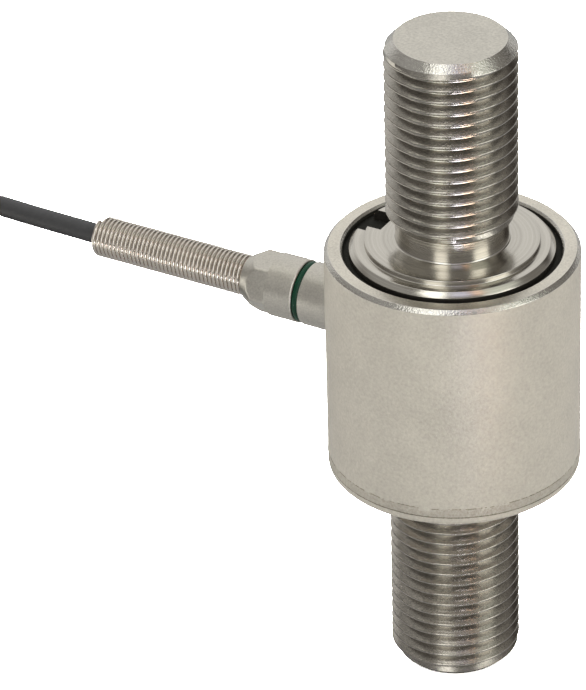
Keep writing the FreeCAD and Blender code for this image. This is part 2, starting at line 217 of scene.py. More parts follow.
# %% Run on to the cable's end
sleeve_wall = 0.3 * MM
tail_length = 16.0 * MM
tail_start = coil_centre + Vector((0, -ring_radii[0], cable_radius + sleeve_wall))
tail_end = tail_start + Vector((tail_length, 0, 0))
for share_of_tail in (0.2, 0.7, 1):
    cable_points.append(tail_start + Vector((tail_length * share_of_tail, 0, 0)))

cable_curve = bpy.data.curves.new("cable_line", "CURVE")
cable_curve.dimensions = "3D"
spline = cable_curve.splines.new("NURBS")
spline.points.add(len(cable_points) - 1)
for spline_point, place in zip(spline.points, cable_points):
    spline_point.co = (*place, 1)
spline.order_u = 3
spline.use_endpoint_u = True
cable_curve.resolution_u = 5
cable_curve.bevel_depth = cable_radius
cable_curve.bevel_resolution = 4
cable_curve.use_fill_caps = True
cable = bpy.data.objects.new("cable_line", cable_curve)
bpy.context.scene.collection.objects.link(cable)
print("cable route points:", len(cable_points))

# %% [markdown]
# ## Three ways to build a mesh
#
# The pieces of this sensor were turned, wound or cut, and each way of making has its own mesh:
#
# - a turned piece is a profile swept round an axis, so it is a grid of rows and columns
# - a wire is a circle carried along a path
# - a hexagon or a thread is a turned grid whose radius changes on the way round
#
# Real edges are never perfectly sharp. `soften` cuts each corner of a profile with a small curve, and
# that curve catches the thin bright line that makes a machined edge look real.

# %% Soften a profile's corners
LONGEST_ROUNDING = 0.45  # as a share of an edge, so that two roundings never meet


def soften(corners, steps=3):
    """Profile of (radius, level) from (radius, level, rounding) corners, with the roundings cut in."""
    profile = []
    for index, (radius, level, rounding) in enumerate(corners):
        here = Vector((radius, level))
        if rounding == 0 or index in (0, len(corners) - 1):
            profile.append((radius, level))
            continue
        before = Vector(corners[index - 1][:2]) - here
        after = Vector(corners[index + 1][:2]) - here
        start = here + before.normalized() * min(rounding, before.length * LONGEST_ROUNDING)
        end = here + after.normalized() * min(rounding, after.length * LONGEST_ROUNDING)
        for count in range(steps + 1):
            share = count / steps
            point = start * (1 - share) ** 2 + here * 2 * share * (1 - share) + end * share ** 2
            profile.append((point.x, point.y))
    return profile


# %% Turned grids
COLUMNS = 192
MERGE_DISTANCE = 0.0005 * MM


def plain_rows(profile, columns=COLUMNS):
    """One row of (radius, level) for each column and each profile point."""
    return [[point] * columns for point in profile]


def grid_mesh(bm, rows, closed=False, helix=False):
    """Adds a turned grid to a bmesh. Radius 0 makes a pole, and closed joins the last row to the first.
    A helix has one column more, which lies where the first column of the next turn is."""
    made = []
    steps = len(rows[0]) - 1 if helix else len(rows[0])
    for row in rows:
        if all(radius < 1e-9 for radius, level in row):
            made.append([bm.verts.new((0, 0, row[0][1]))] * len(row))
            continue
        ring = []
        for column, (radius, level) in enumerate(row):
            angle = 2 * math.pi * column / steps
            ring.append(bm.verts.new((radius * math.cos(angle), radius * math.sin(angle), level)))
        made.append(ring)
    pairs = list(zip(made, made[1:]))
    if closed:
        pairs.append((made[-1], made[0]))
    for lower, upper in pairs:
        for column in range(steps):
            after = column + 1 if helix else (column + 1) % steps
            corners = [lower[column], lower[after], upper[after], upper[column]]
            corners = list(dict.fromkeys(corners))
            if len(corners) > 2:
                bm.faces.new(corners)


# %% Turn a bmesh into a piece
def finish_mesh(name, bm, materials, smooth_angle=35):
    """Turns a bmesh into a piece that rides on the sensor's body, smooth but for its sharp edges."""
    bmesh.ops.remove_doubles(bm, verts=bm.verts, dist=MERGE_DISTANCE)
    bmesh.ops.dissolve_degenerate(bm, edges=bm.edges, dist=MERGE_DISTANCE)
    bmesh.ops.recalc_face_normals(bm, faces=bm.faces)
    mesh = bpy.data.meshes.new(name)
    bm.to_mesh(mesh)
    bm.free()
    mesh.shade_smooth()
    mesh.set_sharp_from_angle(angle=math.radians(smooth_angle))
    piece = bpy.data.objects.new(name, mesh)
    bpy.context.scene.collection.objects.link(piece)
    for material in materials:
        mesh.materials.append(material)
    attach(piece, "root")
    print(name, "faces:", len(mesh.polygons))
    return piece


# %% [markdown]
# The gland's pieces are turned too, but about the cable's axis. They are made up the Z axis like the
# others, and one matrix lays them over towards -X at the cable's level.

# %% Lay a piece over towards the cable
TOWARDS_CABLE = Matrix.Translation((0, 0, cable_level)) @ Matrix.Rotation(math.radians(-90), 4, "Y")


def lay_over(bm):
    """Moves a bmesh made up the Z axis to the cable's axis."""
    bmesh.ops.transform(bm, matrix=TOWARDS_CABLE, verts=bm.verts)


# %% [markdown]
# A wire's cross-section must not twist as it goes round bends. At each point the old sideways direction
# is made square to the new path direction again, which carries it along without a twist.

# %% Wires
def wire_mesh(bm, path, radii, sides=12, material=0):
    """Adds a round wire along a path. radii has one radius for each path point."""
    forward = (path[1] - path[0]).normalized()
    sideways = forward.orthogonal().normalized()
    rings = []
    for index, place in enumerate(path):
        before = path[max(index - 1, 0)]
        after = path[min(index + 1, len(path) - 1)]
        if (after - before).length > 1e-9:
            forward = (after - before).normalized()
        sideways = (sideways - forward * sideways.dot(forward)).normalized()
        third = forward.cross(sideways)
        ring = []
        for side in range(sides):
            angle = 2 * math.pi * side / sides
            offset = (sideways * math.cos(angle) + third * math.sin(angle)) * radii[index]
            ring.append(bm.verts.new(place + offset))
        rings.append(ring)
    for ring, following in zip(rings, rings[1:]):
        for side in range(sides):
            after = (side + 1) % sides
            face = bm.faces.new([ring[side], ring[after], following[after], following[side]])
            face.material_index = material
    bm.faces.new(rings[0][::-1]).material_index = material
    bm.faces.new(rings[-1]).material_index = material


# %% [markdown]
# ## Steel in several finishes
#
# All the steel here is the same alloy with the same slightly warm colour, except where shade is painted: the
# threads get a darker copy of it, and the hidden inside a near-black one. What differs is the surface:
#
# - turned steel has fine grooves round its axis. They stretch each highlight across the grooves.
# - blasted steel has tiny dents everywhere. They blur each reflection to a satin sheen, so far that it
#   looks more like grey paint than like a mirror. Here a low metallic value makes that.
# - drawn wire is almost bright
#
# One function makes them all. Its grooves come from noise that is read by the distance from the axis and
# by the height, so it makes rings and never streaks along the part. Its grain is fine noise in space.

# %% Node helpers
def new_material(name):
    """Empty node material with its Principled shader."""
    material = bpy.data.materials.new(name)
    material.use_nodes = True
    return material, material.node_tree.nodes["Principled BSDF"]


def add_node(material, kind, **inputs):
    """Adds a node. Input names are written with underscores for blanks."""
    node = material.node_tree.nodes.new(kind)
    for name, value in inputs.items():
        node.inputs[name.replace("_", " ")].default_value = value
    return node


def link(material, output, target):
    """Joins two sockets."""
    material.node_tree.links.new(output, target)


def maths(material, operation, first, second=None):
    """Maths node. Each value is a number or a socket."""
    node = material.node_tree.nodes.new("ShaderNodeMath")
    node.operation = operation
    for socket, value in zip(node.inputs, (first, second)):
        if value is None:
            continue
        if isinstance(value, (int, float)):
            socket.default_value = value
        else:
            link(material, value, socket)
    return node.outputs[0]


def spread_values(material, value, low, high):
    """Stretches a 0 to 1 socket to run from low to high."""
    node = add_node(material, "ShaderNodeMapRange", To_Min=low, To_Max=high)
    link(material, value, node.inputs["Value"])
    return node.outputs["Result"]


def weigh(material, first, first_weight, second, second_weight):
    """Socket with the sum of two values, each times its own weight."""
    return maths(material, "ADD", maths(material, "MULTIPLY", first, first_weight),
                 maths(material, "MULTIPLY", second, second_weight))


def length_of(material, side_a, side_b):
    """Socket with the length of the slant that two sockets at right angles span."""
    return maths(material, "SQRT", maths(material, "ADD", maths(material, "MULTIPLY", side_a, side_a),
                                         maths(material, "MULTIPLY", side_b, side_b)))


def read_noise(material, place, scale, detail, roughness):
    """Noise from 0 to 1, read at a place."""
    node = add_node(material, "ShaderNodeTexNoise", Scale=scale, Detail=detail, Roughness=roughness)
    link(material, place, node.inputs["Vector"])
    return node.outputs["Fac"]


def mix_colours(material, share, first, second):
    """Colour socket that goes from the first colour to the second as the share goes from 0 to 1."""
    mix = add_node(material, "ShaderNodeMix")
    mix.data_type = "RGBA"
    link(material, share, mix.inputs["Factor"])
    for socket, colour in ((mix.inputs[6], first), (mix.inputs[7], second)):
        if isinstance(colour, tuple):
            socket.default_value = (*colour, 1)
        else:
            link(material, colour, socket)
    return mix.outputs[2]


def dent(material, shader, height, depth):
    """Lets a height socket, times the depth in metres, tilt the light on a surface."""
    bump = add_node(material, "ShaderNodeBump", Strength=1.0, Distance=depth)
    link(material, height, bump.inputs["Height"])
    link(material, bump.outputs[0], shader.inputs["Normal"])


# %% [markdown]
# The steel shader mixes large soft patches into the colour and the roughness, because no real surface
# is equally clean all over. The patches are several millimetres wide and weak. `mottling` says how far
# the colour may stray, about twice as far to the dark side as to the light one. Noise stays near its
# middle value, so it is stretched to well beyond 0 and 1, which brings out both ends.

# %% The steel shader
PATCHES_PER_METRE = 180
ROUGHNESS_SPREAD = 0.07
GRAIN_IN_TONE = 0.65
WIDE_RING = 0.45 * MM
DARKEST = 2.2
LIGHTEST = 1.2


def steel(name, colour, roughness, grain=0.0, grain_size=0.12, grooves=0.0, groove_size=0.08,
          along="Z", stretch=0.0, mottling=0.06, metal=1.0, ring_tone=0.0):
    """Stainless steel. Sizes are in millimetres, and grain and grooves are bump heights."""
    material, shader = new_material(name)
    shader.inputs["Metallic"].default_value = metal
    shader.inputs["Anisotropic"].default_value = stretch
    place = add_node(material, "ShaderNodeTexCoord").outputs["Object"]
    split = add_node(material, "ShaderNodeSeparateXYZ")
    link(material, place, split.inputs[0])
    x, y, z = split.outputs
    if along == "Z":
        side_a, side_b, height = x, y, z
    else:
        side_a, side_b, height = y, maths(material, "SUBTRACT", z, cable_level), x
    ring_place = add_node(material, "ShaderNodeCombineXYZ")
    link(material, length_of(material, side_a, side_b), ring_place.inputs[0])
    link(material, height, ring_place.inputs[1])

    patch = read_noise(material, place, PATCHES_PER_METRE, 3, 0.55)
    fine = read_noise(material, place, 1 / (grain_size * MM), 2, 0.6)
    rings = read_noise(material, ring_place.outputs[0], 1 / (groove_size * MM), 3, 0.65)

    grain_share = GRAIN_IN_TONE if grain else 0.0
    tone = weigh(material, patch, 1 - grain_share, fine, grain_share)
    if ring_tone:
        wide_rings = read_noise(material, ring_place.outputs[0], 1 / WIDE_RING, 3, 0.7)
        tone = weigh(material, tone, 1 - ring_tone, wide_rings, ring_tone)
    dark = tuple(value * (1 - DARKEST * mottling) for value in colour)
    light = tuple(min(value * (1 + LIGHTEST * mottling), 1) for value in colour)
    share = spread_values(material, tone, -0.6, 1.6)
    link(material, mix_colours(material, share, dark, light), shader.inputs["Base Color"])

    rough = spread_values(material, patch, roughness - ROUGHNESS_SPREAD, roughness + ROUGHNESS_SPREAD)
    link(material, rough, shader.inputs["Roughness"])
    dent(material, shader, weigh(material, fine, grain * MM, rings, grooves * MM), 1.0)
    if stretch:
        tangent = material.node_tree.nodes.new("ShaderNodeTangent")
        tangent.direction_type = "RADIAL"
        tangent.axis = along
        link(material, tangent.outputs[0], shader.inputs["Tangent"])
    return material


# %% Mix the finishes
STEEL = (0.585, 0.56, 0.51)
# Painted shade: both threads take a darker copy of the steel's colour. It stands in for the shade in their
# grooves and, on the lower stud, for the shade under the housing.
SHADED_THREAD_STEEL = (0.42, 0.398, 0.358)
SHADED_LOWER_STEEL = (0.43, 0.405, 0.365)

turned = steel("turned_steel", STEEL, 0.17, grain=0.002, grooves=0.006, groove_size=0.12, stretch=0.3,
               mottling=0.12, ring_tone=0.7)
threaded = steel("threaded_steel", SHADED_THREAD_STEEL, 0.22, grain=0.012, grain_size=0.22, grooves=0.005,
                 groove_size=0.1, stretch=0.2, mottling=0.16)
faced = steel("faced_end", (0.66, 0.637, 0.578), 0.4, grain=0.02, grain_size=0.3, mottling=0.12)
blasted = steel("blasted_steel", (0.39, 0.363, 0.312), 0.46, grain=0.035, grain_size=0.35, mottling=0.1,
                metal=0.2)
lower_thread = steel("lower_threaded_steel", SHADED_LOWER_STEEL, 0.22, grain=0.005, grain_size=0.2, grooves=0.002,
                     groove_size=0.1, stretch=0.2, mottling=0.2)
gland_steel = steel("gland_steel", (0.62, 0.595, 0.54), 0.36, grain=0.02, grain_size=0.25, grooves=0.004,
                    mottling=0.1, along="X", stretch=0.3)
chamfer_steel = steel("chamfer_steel", (0.62, 0.605, 0.565), 0.2, grain=0.05, grain_size=0.25, grooves=0.006,
                      groove_size=0.15)
wire_steel = steel("spring_wire", (0.66, 0.61, 0.55), 0.2, grain=0.004, along="X")
rough_weld = steel("weld_bead", (0.33, 0.305, 0.257), 0.5, grain=0.07, grain_size=0.3, mottling=0.14,
                   metal=0.2)
weld_crease = steel("weld_crease", (0.17, 0.15, 0.12), 0.5, grain=0.12, grain_size=0.25, mottling=0.3,
                    metal=0.2)
# Painted shade: a near-black steel for the inside of the housing and the slot's walls, where shade falls.
shade_steel = steel("painted_shade_steel", (0.075, 0.07, 0.06), 0.6, grain=0.02, grain_size=0.3)
rim_steel = steel("rim_steel", (0.75, 0.715, 0.634), 0.36, grain=0.014, grain_size=0.25, grooves=0.004,
                  mottling=0.12)
print("finishes so far:", [material.name for material in bpy.data.materials])

# %% [markdown]
# ## The measuring body
#
# One bar of steel was turned into both studs, both flanges and the gauge column between them. The
# threads are M16 x 1.5: fine, right handed and rolled, with round crests and roots. A thread isn't a
# stack of rings. Its crest climbs one pitch on each turn, so the rows of the grid climb too, which lays
# the mesh's edges exactly along crest and root. At both ends the rows are held at the thread's last
# level, and the radius is never more than the chamfer's there, so each crest fades into its chamfer.

# %% The thread's section
PITCH = 1.5 * MM
crest_rounding = 0.17 * MM
root_rounding = 0.16 * MM
flank_angle = math.radians(60)
stud_radius = 8.0 * MM

round_width = (crest_rounding + root_rounding) * math.sin(flank_angle)
flank_height = (PITCH / 2 - round_width) * math.tan(flank_angle)
thread_depth = flank_height + (crest_rounding + root_rounding) * (1 - math.cos(flank_angle))
crest_and_root = []
for count in range(-4, 5):
    angle = flank_angle * count / 4
    crest_and_root.append((crest_rounding * math.sin(angle), crest_rounding * (1 - math.cos(angle))))
for count in (-3, -1, 1, 3):
    angle = flank_angle * count / 3
    depth = thread_depth - root_rounding * (1 - math.cos(angle))
    crest_and_root.append((PITCH / 2 + root_rounding * math.sin(angle), depth))
print("thread depth in mm:", round(thread_depth / MM, 3))

# %% Thread rows
RUN_OUT = 0.3 * MM
TORN_DEPTH = 0.03 * MM
TORN_LENGTH = 0.4 * MM
TEARS_AROUND = 40
CREST_DEPTH = 0.1 * MM


def thread_rows(bottom, top, end_radius_below, end_radius_above, phase, cut_top):
    """Rows from bottom to top. The end radii are those of the chamfers at the thread's two ends, and the
    groove is cut no higher than cut_top. Noise tears each crest a little."""
    rows = []
    turns = int((top - bottom) / PITCH) + 2
    for turn in range(-2, turns):
        for height, depth in crest_and_root:
            row = []
            for column in range(COLUMNS + 1):
                climb = column / COLUMNS + phase
                level = bottom + (turn + climb) * PITCH + height
                level = min(max(level, bottom), top)
                reach = min(max((cut_top - level) / RUN_OUT, 0), 1)
                around = 2 * math.pi * column / COLUMNS
                across = Vector((math.cos(around), math.sin(around), 0)) * TEARS_AROUND
                torn = max(noise.noise(across + Vector((0, 0, level / TORN_LENGTH))), 0) * TORN_DEPTH
                radius = stud_radius - depth * reach - torn * (depth < CREST_DEPTH)
                radius = min(radius, end_radius_below + level - bottom, end_radius_above + top - level)
                row.append((radius, level))
            rows.append(row)
    return rows


# %% [markdown]
# Between the threads the profile steps out to the flanges. The slot for the cable's cores and the four
# flats for the gauges are cut afterwards with one boolean, on the middle part alone, because a boolean
# on the fine thread mesh would be slow. The thread grids have the same columns as the middle part, so
# their end rings meet point for point and merge.

# %% Sizes of the turned profile
chamfer_radius = 6.75 * MM
relief_radius = 6.85 * MM
relief_length = 2.7 * MM
flange_bottom = 54.0 * MM
flange_top = 58.4 * MM
flange_radius = 12.45 * MM
flange_chamfer = 0.6 * MM
disc_radius = 10.6 * MM
disc_top = 59.05 * MM
neck_foot = 59.2 * MM
root_radius = 8.4 * MM
housing_bottom = 27.8 * MM
spigot_radius = 13.17 * MM
spigot_top = 31.7 * MM
column_radius = 7.5 * MM
column_flat = 6.0 * MM
slot_width = 5.0 * MM
slot_end = 8.45 * MM
lower_thread_top = housing_bottom - relief_length
upper_thread_bottom = neck_foot + relief_length
print("threads in mm:", round(lower_thread_top / MM, 2), round(upper_thread_bottom / MM, 2))

# %% Turn the middle of the body
middle_profile = soften([
    (0, lower_thread_top, 0),
    (relief_radius, lower_thread_top, 0),
    (relief_radius, housing_bottom, 0.3 * MM),
    (housing_radius - 0.35 * MM, housing_bottom, 0.2 * MM),
    (housing_radius, housing_bottom + 0.35 * MM, 0.2 * MM),
    (housing_radius, weld_low.z, 0.05 * MM),
    (housing_radius - 0.6 * MM, sleeve_bottom, 0),
    (spigot_radius, sleeve_bottom, 0.1 * MM),
    (spigot_radius, spigot_top, 0.1 * MM),
    (column_radius, spigot_top, 1.6 * MM),
    (column_radius, flange_bottom, 1.6 * MM),
    (flange_radius, flange_bottom, 0.1 * MM),
    (flange_radius, flange_top - flange_chamfer, 0.06 * MM),
    (flange_radius - flange_chamfer, flange_top, 0.06 * MM),
    (disc_radius, flange_top, 0.12 * MM),
    (disc_radius, disc_top, 0.1 * MM),
    (root_radius, disc_top, 0.15 * MM),
    (relief_radius, neck_foot, 0.25 * MM),
    (relief_radius, upper_thread_bottom, 0),
    (0, upper_thread_bottom, 0),
])
middle_mesh = bmesh.new()
grid_mesh(middle_mesh, plain_rows(middle_profile))
bmesh.ops.remove_doubles(middle_mesh, verts=middle_mesh.verts, dist=MERGE_DISTANCE)
bmesh.ops.recalc_face_normals(middle_mesh, faces=middle_mesh.faces)
print("middle rows:", len(middle_profile))


# %% Cut the slot and the flats
def cut_boxes(bm, boxes):
    """Cuts boxes, each a (centre, size, turn about Z), from a closed bmesh and returns the result."""
    body = bpy.data.objects.new("uncut", bpy.data.meshes.new("uncut"))
    bm.to_mesh(body.data)
    bm.free()
    cutter_mesh = bmesh.new()
    for centre, size, turn_angle in boxes:
        place = Matrix.Rotation(turn_angle, 4, "Z") @ Matrix.Translation(centre) @ Matrix.Diagonal((*size, 1))
        bmesh.ops.create_cube(cutter_mesh, size=1, matrix=place)
    cutter = bpy.data.objects.new("cutter", bpy.data.meshes.new("cutter"))
    cutter_mesh.to_mesh(cutter.data)
    cutter_mesh.free()
    for scratch in (body, cutter):
        bpy.context.scene.collection.objects.link(scratch)
    cut = body.modifiers.new("cut", "BOOLEAN")
    cut.operation = "DIFFERENCE"
    cut.solver = "EXACT"
    cut.object = cutter
    bpy.context.view_layer.update()
    evaluated = body.evaluated_get(bpy.context.evaluated_depsgraph_get())
    result = bmesh.new()
    result.from_mesh(evaluated.to_mesh())
    evaluated.to_mesh_clear()
    for scratch in (body, cutter):
        bpy.data.meshes.remove(scratch.data)
    return result


slot_reach = 20 * MM
slot_height = 2 * (flange_top - flange_bottom) + 3.2 * MM
slot_centre = Vector((-slot_end - slot_reach / 2, 0, flange_top))
slot_box = (slot_centre, (slot_reach, slot_width, slot_height), 0)

flat_margin = 3 * MM
flat_cut = 10 * MM
flat_centre = Vector((column_flat + flat_cut / 2, 0, (flange_bottom + spigot_top) / 2))
flat_size = (flat_cut, 2 * column_radius, flange_bottom - spigot_top - 2 * flat_margin)
flats = [(flat_centre, flat_size, math.radians(90 * side)) for side in range(4)]
middle_mesh = cut_boxes(middle_mesh, [slot_box, *flats])
print("faces after the cuts:", len(middle_mesh.faces))

# %% Add the threads and join
def is_end_cap(face):
    """Whether a face of the middle part lies where a thread begins."""
    return any(
        all(abs(vert.co.z - level) < MERGE_DISTANCE for vert in face.verts)
        for level in (lower_thread_top, upper_thread_bottom)
    )


end_caps = [face for face in middle_mesh.faces if is_end_cap(face)]
bmesh.ops.delete(middle_mesh, geom=end_caps, context="FACES")
print("open end faces:", len(end_caps))

lower_end = plain_rows([(0, 0), (chamfer_radius, 0)], COLUMNS + 1)
lower_thread_rows = thread_rows(0, lower_thread_top, chamfer_radius, relief_radius, 0.53, lower_thread_top)
grid_mesh(middle_mesh, lower_end + lower_thread_rows, helix=True)
upper_end = plain_rows([(chamfer_radius, top_level), (0, top_level)], COLUMNS + 1)
groove_top = top_level - 1.1 * MM
upper_thread_rows = thread_rows(upper_thread_bottom, top_level, relief_radius, chamfer_radius, 0.26,
                                groove_top)
grid_mesh(middle_mesh, upper_thread_rows + upper_end, helix=True)
body = finish_mesh(
    "measuring_body_turned",
    middle_mesh,
    [turned, threaded, faced, lower_thread, blasted, shade_steel, chamfer_steel],
)
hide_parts("measuring_body")

# %% [markdown]
# The finish changes along the body. A face takes its material by where it lies: the thread grids, the
# end faces, the lower flange's outside, which was blasted together with the housing, and all the rest.
# The gauge column inside the housing and the slot's walls get painted shade: a near-black steel colour where
# shade falls deep inside.

# %% Give each zone its finish
TURNED, THREADED, FACED, LOWER_THREAD, BLASTED, PAINTED_SHADE, CHAMFER = range(7)
shade_level = flange_top - 1.5 * MM
for face in body.data.polygons:
    place = face.center
    distance = math.hypot(place.x, place.y)
    level_facing = abs(face.normal.z) > 0.98
    inside_housing = sleeve_bottom < place.z < shade_level
    in_slot = place.x < 0 and place.z < disc_top and abs(place.y) < slot_width / 2 + 0.01 * MM
    if place.z > upper_thread_bottom:
        on_chamfer = abs(distance - chamfer_radius - (top_level - place.z)) < 0.02 * MM
        face.material_index = CHAMFER if on_chamfer else THREADED
        if level_facing and place.z > top_level - 0.1 * MM:
            face.material_index = FACED
    elif place.z < lower_thread_top:
        face.material_index = LOWER_THREAD
    elif distance > relief_radius + 0.6 * MM and place.z < sleeve_bottom + 0.1 * MM:
        face.material_index = BLASTED
    # Painted shade: below the shade level and on the slot's walls the faces are near black.
    elif inside_housing or (in_slot and not level_facing):
        face.material_index = PAINTED_SHADE

# %% [markdown]
# ## The housing and its weld
#
# The sleeve is a plain tube, but its edges carry the look: a flat rim with a sharp bright chamfer
# outside and a small one inside. It was welded to the lower flange and then blasted, which left a satin
# skin, and a slightly rough band where the bead is. The bead's radius wanders by a few hundredths of a
# millimetre, with soft waves along the seam and fine ones on top.

# %% Turn the sleeve
sleeve_bore = housing_radius - 2.3 * MM
rim_outer = 0.5 * MM
rim_inner = 0.3 * MM
sleeve_profile = soften([
    (sleeve_bore, sleeve_bottom, 0),
    (housing_radius, sleeve_bottom, 0),
    (housing_radius, rim_level - rim_outer, 0.05 * MM),
    (housing_radius - rim_outer, rim_level, 0.05 * MM),
    (sleeve_bore + rim_inner, rim_level, 0.08 * MM),
    (sleeve_bore, rim_level - rim_inner, 0.08 * MM),
    (sleeve_bore, shade_level, 0),
    (sleeve_bore, sleeve_bottom + 1 * MM, 0),
])
sleeve_mesh = bmesh.new()
grid_mesh(sleeve_mesh, plain_rows(sleeve_profile), closed=True)
sleeve = finish_mesh(
    "housing_sleeve_blasted",
    sleeve_mesh,
    [blasted, rim_steel, chamfer_steel, turned, shade_steel],
)
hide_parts("housing_sleeve")
OUTSIDE, RIM, RIM_EDGE, BORE, PAINTED_SHADE_BORE = range(5)
for face in sleeve.data.polygons:
    distance = math.hypot(face.center.x, face.center.y)
    if face.normal.z > 0.95:
        face.material_index = RIM
    elif face.normal.z > 0.2:
        face.material_index = RIM_EDGE
    elif distance < sleeve_bore + 0.2 * MM:
        # Painted shade: the bore below the shade level is near black.
        face.material_index = BORE if face.center.z > shade_level else PAINTED_SHADE_BORE

# %% [markdown]
# The bead is a low ridge that closes round the housing. Its two edges are creases, and they get a darker
# colour. A wandering line between bead and crease keeps them from looking like drawn rings.

# %% Lay the weld bead
bead_foot = housing_radius - 0.6 * MM
bead_columns = 720
waves_around = 9
ripples_in_wave = 6
wave_height = 0.05
ripple_height = 0.035
bead_sink = 0.02
bead_profile = [
    (-0.72, -0.02), (-0.66, 0.03), (-0.52, 0.03), (-0.3, 0.04),
    (0.0, 0.05), (0.3, 0.04), (0.54, 0.03), (0.62, 0.02), (0.7, -0.03),
]
bead_rows = [[(bead_foot, sleeve_bottom)] * bead_columns]
for height, crown in bead_profile:
    row = []
    for column in range(bead_columns):
        angle = 2 * math.pi * column / bead_columns
        around = Vector((math.cos(angle), math.sin(angle), 0)) * waves_around
        wander = noise.noise(around + Vector((0, 0, height * 2))) * wave_height
        ripple = noise.noise(around * ripples_in_wave + Vector((0, 0, height * 5))) * ripple_height
        radius = housing_radius + (crown + wander * (abs(height) < 0.6) + ripple - bead_sink) * MM
        row.append((min(radius, weld_high.x), sleeve_bottom + (height + wander) * MM))
    bead_rows.append(row)
bead_mesh = bmesh.new()
grid_mesh(bead_mesh, bead_rows, closed=True)
bead = finish_mesh("weld_bead", bead_mesh, [rough_weld, weld_crease])

# %% Darken the bead's creases
BEAD, CREASE = range(2)
for face in bead.data.polygons:
    from_seam = (face.center.z - sleeve_bottom) / MM
    ragged = noise.noise(face.center / (1.3 * MM)) * 0.12
    on_bead = -0.5 + ragged <= from_seam <= 0.56 + ragged
    face.material_index = BEAD if on_bead else CREASE
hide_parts("housing_weld")

# %% [markdown]
# ## The cable gland
#
# A round boss stands in the housing's side. The gland nut screws into it and squeezes a soft green ring
# on the way. The nut is the form that takes most care: a round bar, coned to a nose at 30 degrees, with
# a hexagon for the wrench cut only part of the way along. Its radius at any angle is simply the least
# of three radii, for the bar, the cone and the flats. Taking a soft minimum instead of a hard one
# rounds every edge where two of them meet, as tumbling and blasting do.

# %% The nut's radius
nut_radius = nut_high.y
hex_flat_radius = 3.5 * MM
hex_length = 4.1 * MM
hex_turn = math.radians(19)
nose_radius = 2.75 * MM
nose_slope = math.tan(math.radians(30))
nut_shoulder = -seal_low.x
edge_softness = 0.07 * MM
print("nut from", round(nut_shoulder / MM, 2), "to", round(nut_face / MM, 2), "mm off the load axis")


# %% The nut's surface

def soft_minimum(first, second):
    """The smaller value, with a smooth change from one to the other."""
    blend = max(edge_softness - abs(first - second), 0) / edge_softness
    return min(first, second) - blend * blend * edge_softness / 4


def nut_surface(distance, angle):
    """Radius of the nut at a distance from the load axis and an angle about the cable's axis."""
    cone = nose_radius + (nut_face - distance) * nose_slope
    radius = soft_minimum(nut_radius, cone)
    if distance > nut_face - hex_length:
        from_flat = (angle - hex_turn) % (math.pi / 3) - math.pi / 6
        radius = soft_minimum(radius, hex_flat_radius / math.cos(from_flat))
    return radius


# %% Build the nut
seat_radius = spring_radius + 0.05 * MM
hole_radius = cable_radius + 0.2 * MM
shoulder_bevel = 0.12 * MM
face_bevel = 0.08 * MM
bevel_slope = 0.7
nut_rows = []
level_steps = 110
for count in range(level_steps + 1):
    distance = nut_shoulder + (nut_face - nut_shoulder) * count / level_steps
    row = []
    for column in range(COLUMNS):
        angle = 2 * math.pi * column / COLUMNS
        edge = min(0, distance - nut_shoulder - shoulder_bevel, nut_face - distance - face_bevel)
        row.append((nut_surface(distance, angle) + edge * bevel_slope, distance))
    nut_rows.append(row)
nut_rows += plain_rows([
    (seat_radius + 0.05 * MM, nut_face),
    (seat_radius, nut_face - 0.05 * MM),
    (seat_radius, spring_start),
    (hole_radius, spring_start),
    (hole_radius, nut_shoulder),
])
print("nut rows:", len(nut_rows))

# %% [markdown]
# The hexagon's angles are measured about the nut's axis in its own frame, where the mesh is made up the
# Z axis. `lay_over` turns that frame towards -X, so its X axis ends up along the load axis.

# %% Lay the nut over
nut_mesh = bmesh.new()
grid_mesh(nut_mesh, nut_rows, closed=True)
lay_over(nut_mesh)
nut = finish_mesh("gland_nut_coned", nut_mesh, [gland_steel], smooth_angle=50)
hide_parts("gland_nut")

# %% Lay the boss over
boss_radius = boss_high.y
boss_face = -boss_low.x
boss_foot = sleeve_bore + 0.5 * MM
boss_mesh = bmesh.new()
boss_profile = soften([
    (hole_radius, boss_foot, 0),
    (boss_radius, boss_foot, 0),
    (boss_radius, boss_face, 0.12 * MM),
    (hole_radius, boss_face, 0),
    (hole_radius, sleeve_bore + 1 * MM, 0),
])
grid_mesh(boss_mesh, plain_rows(boss_profile), closed=True)
lay_over(boss_mesh)
boss = finish_mesh("cable_boss_round", boss_mesh, [gland_steel])
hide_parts("cable_boss")

# %% [markdown]
# The ring between boss and nut is a soft seal, so dark a green that it is almost black. Squeezed rubber
# never comes out quite even, so its bulge swells and shrinks a little on the way round.

# %% The rubber shader
def rubber(name, colour, roughness, bump_height=0.01, bump_size=0.3, shine=0.5):
    """Rubber or plastic with a fine skin, slightly uneven in colour. Bump sizes are in millimetres."""
    material, shader = new_material(name)
    place = add_node(material, "ShaderNodeTexCoord").outputs["Object"]
    skin = read_noise(material, place, 1 / (bump_size * MM), 4, 0.6)
    dark = tuple(value * 0.7 for value in colour)
    light = tuple(value * 1.35 for value in colour)
    link(material, mix_colours(material, skin, dark, light), shader.inputs["Base Color"])
    rough = spread_values(material, skin, roughness - 0.1, roughness + 0.1)
    link(material, rough, shader.inputs["Roughness"])
    shader.inputs["Specular IOR Level"].default_value = shine
    dent(material, shader, skin, bump_height * MM)
    return material


